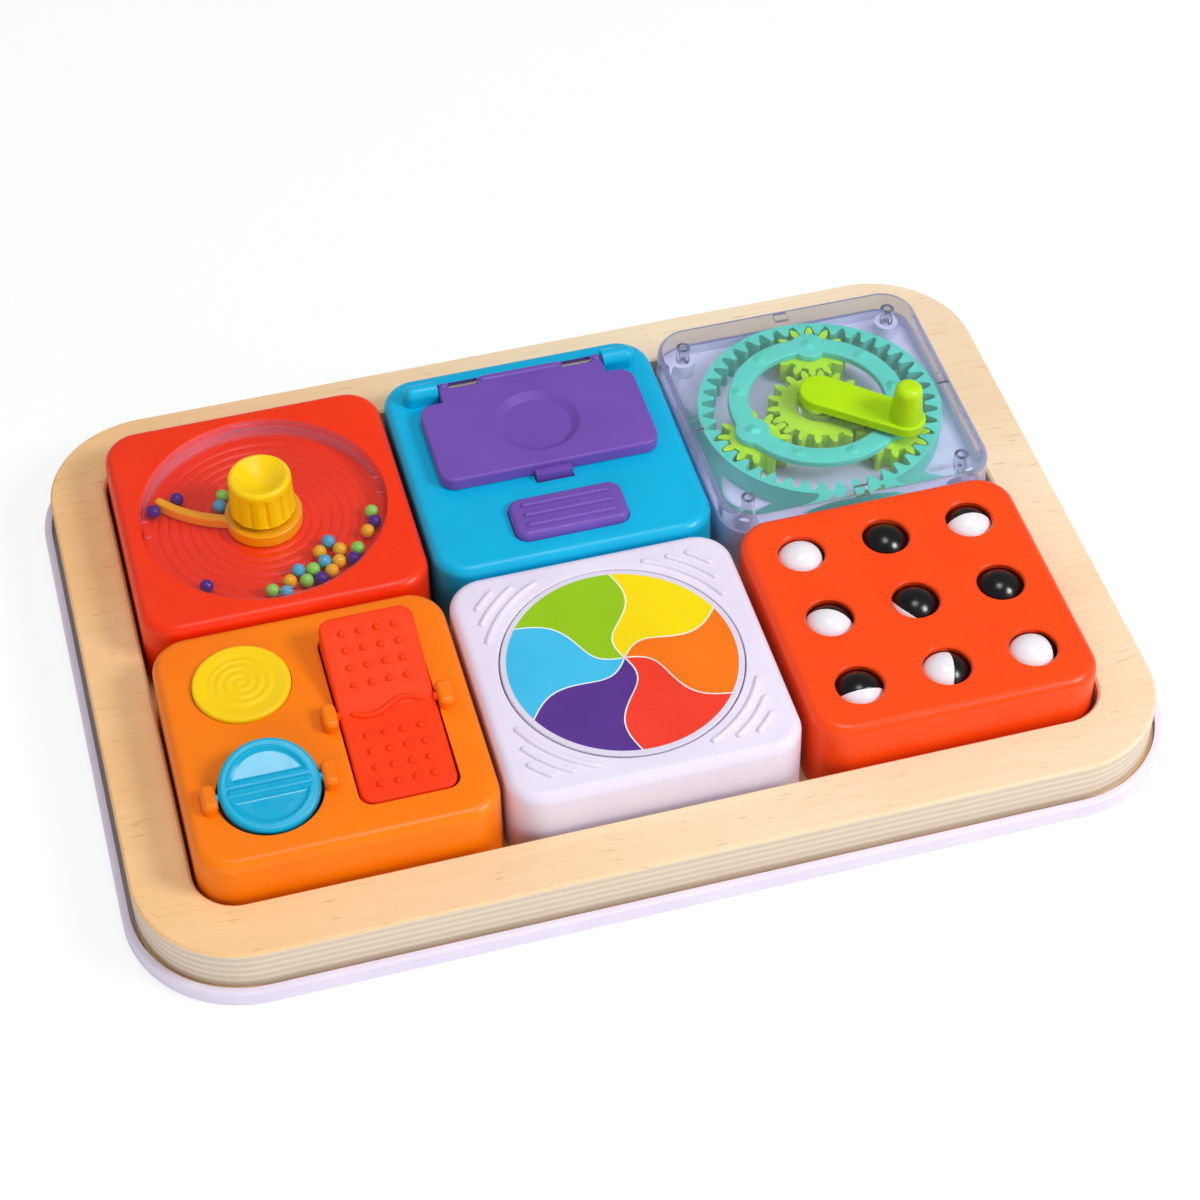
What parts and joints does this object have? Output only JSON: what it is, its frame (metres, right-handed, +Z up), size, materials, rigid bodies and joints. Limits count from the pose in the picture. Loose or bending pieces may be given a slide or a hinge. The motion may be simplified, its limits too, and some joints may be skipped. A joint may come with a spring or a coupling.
{
  "type": "busy board",
  "caption": "Wooden tray board holding lift-out activity tiles: bead sweeper, flap with mirror, planetary gears, switches, colour spinner and rolling balls.",
  "frame": {"origin": "middle of the tray's flat underside", "axes": "+X to the board's right, +Y to its back, +Z up, out of the tiles' decks"},
  "size_m": [0.3492, 0.2496, 0.0541],
  "materials": {
    "lilac_plastic": "satin",
    "plywood": "satin",
    "panel_wood": "satin",
    "red_plastic": "gloss",
    "clear_plastic": "clear",
    "amber_plastic": "gloss",
    "yellow_plastic": "gloss",
    "steel": "satin",
    "bead_green": "gloss",
    "bead_blue": "gloss",
    "bead_yellow": "gloss",
    "bead_purple": "gloss",
    "blue_plastic": "gloss",
    "purple_plastic": "satin",
    "mirror": "polished",
    "teal_plastic": "satin",
    "lime_plastic": "satin",
    "orange_plastic": "gloss",
    "red_orange_plastic": "gloss",
    "turquoise_plastic": "gloss",
    "disc_plastic": "gloss",
    "disc_film": "satin",
    "ball_plastic": "gloss"
  },
  "bodies": {
    "board": {"base_tray": "lilac_plastic", "floor_panel": "panel_wood", "board_frame": "plywood"},
    "bead_tile": {"bead_tile_shell": "red_plastic", "bead_tile_base": "red_plastic", "bead_window": "clear_plastic"},
    "sweeper": {"sweeper": "amber_plastic", "sweeper_knob": "yellow_plastic", "knob_screw": "steel", "beads_green": "bead_green", "beads_blue": "bead_blue", "beads_yellow": "bead_yellow", "beads_purple": "bead_purple"},
    "flap_tile": {"flap_tile_shell": "blue_plastic", "flap_tile_base": "blue_plastic", "flap_mirror": "mirror", "flap_hinge_pin": "steel", "latch_spring": "steel"},
    "flap": {"flap_lid": "purple_plastic"},
    "latch": {"latch_button": "purple_plastic"},
    "gear_tile": {"gear_tile_cover": "clear_plastic", "gear_tile_base": "lilac_plastic", "ring_gear": "teal_plastic"},
    "crank": {"crank_handle": "lime_plastic", "sun_gear": "lime_plastic", "crank_screw": "steel"},
    "carrier": {"planet_carrier": "teal_plastic"},
    "planet_1": {"planet_gear_1": "lime_plastic"},
    "planet_2": {"planet_gear_2": "lime_plastic"},
    "planet_3": {"planet_gear_3": "lime_plastic"},
    "switch_tile": {"switch_tile_shell": "orange_plastic", "switch_tile_base": "orange_plastic", "push_button_spring": "steel"},
    "push_button": {"push_button": "yellow_plastic"},
    "flip_disc": {"flip_disc": "turquoise_plastic"},
    "rocker": {"rocker": "red_orange_plastic"},
    "spinner_tile": {"spinner_tile_shell": "lilac_plastic", "spinner_tile_base": "lilac_plastic"},
    "spinner": {"colour_disc": "disc_plastic", "disc_print": "disc_film", "disc_screw": "steel"},
    "ball_tile": {"ball_tile_shell": "red_orange_plastic", "ball_tile_base": "red_orange_plastic"},
    "ball_1": {"ball_1": "ball_plastic"},
    "ball_2": {"ball_2": "ball_plastic"},
    "ball_3": {"ball_3": "ball_plastic"},
    "ball_4": {"ball_4": "ball_plastic"},
    "ball_5": {"ball_5": "ball_plastic"},
    "ball_6": {"ball_6": "ball_plastic"},
    "ball_7": {"ball_7": "ball_plastic"},
    "ball_8": {"ball_8": "ball_plastic"},
    "ball_9": {"ball_9": "ball_plastic"}
  },
  "joints": [
    {"name": "bead_tile_lift", "type": "slide", "parent": "board", "child": "bead_tile", "axis": [0, 0, 1], "range_m": [0, 0.04]},
    {"name": "flap_tile_lift", "type": "slide", "parent": "board", "child": "flap_tile", "axis": [0, 0, 1], "range_m": [0, 0.04]},
    {"name": "gear_tile_lift", "type": "slide", "parent": "board", "child": "gear_tile", "axis": [0, 0, 1], "range_m": [0, 0.04]},
    {"name": "switch_tile_lift", "type": "slide", "parent": "board", "child": "switch_tile", "axis": [0, 0, 1], "range_m": [0, 0.04]},
    {"name": "spinner_tile_lift", "type": "slide", "parent": "board", "child": "spinner_tile", "axis": [0, 0, 1], "range_m": [0, 0.04]},
    {"name": "ball_tile_lift", "type": "slide", "parent": "board", "child": "ball_tile", "axis": [0, 0, 1], "range_m": [0, 0.04]},
    {"name": "sweeper_spin", "type": "hinge", "parent": "bead_tile", "child": "sweeper", "pos_m": [-0.1006, 0.0505, 0.0354], "axis": [0, 0, 1], "continuous": true},
    {"name": "flap_hinge", "type": "hinge", "parent": "flap_tile", "child": "flap", "pos_m": [-0.0007, 0.0865, 0.0389], "axis": [-1, 0, 0], "range_deg": [0, 105]},
    {"name": "latch_press", "type": "slide", "parent": "flap_tile", "child": "latch", "axis": [0, 0, -1], "range_m": [0, 0.0022], "stiffness_N_per_m": 300, "springref_m": -0.003, "deforming": ["latch_spring"]},
    {"name": "crank_spin", "type": "hinge", "parent": "gear_tile", "child": "crank", "pos_m": [0.1001, 0.0505, 0.0354], "axis": [0, 0, 1], "continuous": true},
    {"name": "carrier_spin", "type": "hinge", "parent": "gear_tile", "child": "carrier", "pos_m": [0.1001, 0.0505, 0.0214], "axis": [0, 0, 1], "continuous": true},
    {"name": "planet_1_spin", "type": "hinge", "parent": "carrier", "child": "planet_1", "pos_m": [0.10597, 0.0781, 0.0214], "axis": [0, 0, 1], "continuous": true},
    {"name": "planet_2_spin", "type": "hinge", "parent": "carrier", "child": "planet_2", "pos_m": [0.07326, 0.04178, 0.0214], "axis": [0, 0, 1], "continuous": true},
    {"name": "planet_3_spin", "type": "hinge", "parent": "carrier", "child": "planet_3", "pos_m": [0.12107, 0.03162, 0.0214], "axis": [0, 0, 1], "continuous": true},
    {"name": "push_button_press", "type": "slide", "parent": "switch_tile", "child": "push_button", "axis": [0, 0, -1], "range_m": [0, 0.002], "stiffness_N_per_m": 300, "springref_m": -0.003, "deforming": ["push_button_spring"]},
    {"name": "flip_disc_spin", "type": "hinge", "parent": "switch_tile", "child": "flip_disc", "pos_m": [-0.1219, -0.0718, 0.0373], "axis": [1, 0, 0], "continuous": true},
    {"name": "rocker_rock", "type": "hinge", "parent": "switch_tile", "child": "rocker", "pos_m": [-0.0793, -0.0493, 0.0373], "axis": [-1, 0, 0], "range_deg": [0, 19.3]},
    {"name": "spinner_spin", "type": "hinge", "parent": "spinner_tile", "child": "spinner", "pos_m": [-0.0011, -0.0493, 0.0354], "axis": [0, 0, 1], "continuous": true},
    {"name": "ball_1_roll", "type": "hinge", "parent": "ball_tile", "child": "ball_1", "pos_m": [0.0701, -0.0193, 0.0281], "axis": [1, 0, 0], "continuous": true},
    {"name": "ball_2_roll", "type": "hinge", "parent": "ball_tile", "child": "ball_2", "pos_m": [0.1001, -0.0193, 0.0281], "axis": [1, 0, 0], "continuous": true},
    {"name": "ball_3_roll", "type": "hinge", "parent": "ball_tile", "child": "ball_3", "pos_m": [0.1301, -0.0193, 0.0281], "axis": [1, 0, 0], "continuous": true},
    {"name": "ball_4_roll", "type": "hinge", "parent": "ball_tile", "child": "ball_4", "pos_m": [0.0701, -0.0493, 0.0281], "axis": [1, 0, 0], "continuous": true},
    {"name": "ball_5_roll", "type": "hinge", "parent": "ball_tile", "child": "ball_5", "pos_m": [0.1001, -0.0493, 0.0281], "axis": [1, 0, 0], "continuous": true},
    {"name": "ball_6_roll", "type": "hinge", "parent": "ball_tile", "child": "ball_6", "pos_m": [0.1301, -0.0493, 0.0281], "axis": [1, 0, 0], "continuous": true},
    {"name": "ball_7_roll", "type": "hinge", "parent": "ball_tile", "child": "ball_7", "pos_m": [0.0701, -0.0793, 0.0281], "axis": [1, 0, 0], "continuous": true},
    {"name": "ball_8_roll", "type": "hinge", "parent": "ball_tile", "child": "ball_8", "pos_m": [0.1001, -0.0793, 0.0281], "axis": [1, 0, 0], "continuous": true},
    {"name": "ball_9_roll", "type": "hinge", "parent": "ball_tile", "child": "ball_9", "pos_m": [0.1301, -0.0793, 0.0281], "axis": [1, 0, 0], "continuous": true}
  ],
  "couplings": [
    {"joint": "carrier_spin", "follows": "crank_spin", "ratio": 0.3},
    {"joint": "planet_1_spin", "follows": "crank_spin", "ratio": -1.05},
    {"joint": "planet_2_spin", "follows": "crank_spin", "ratio": -1.05},
    {"joint": "planet_3_spin", "follows": "crank_spin", "ratio": -1.05}
  ]
}
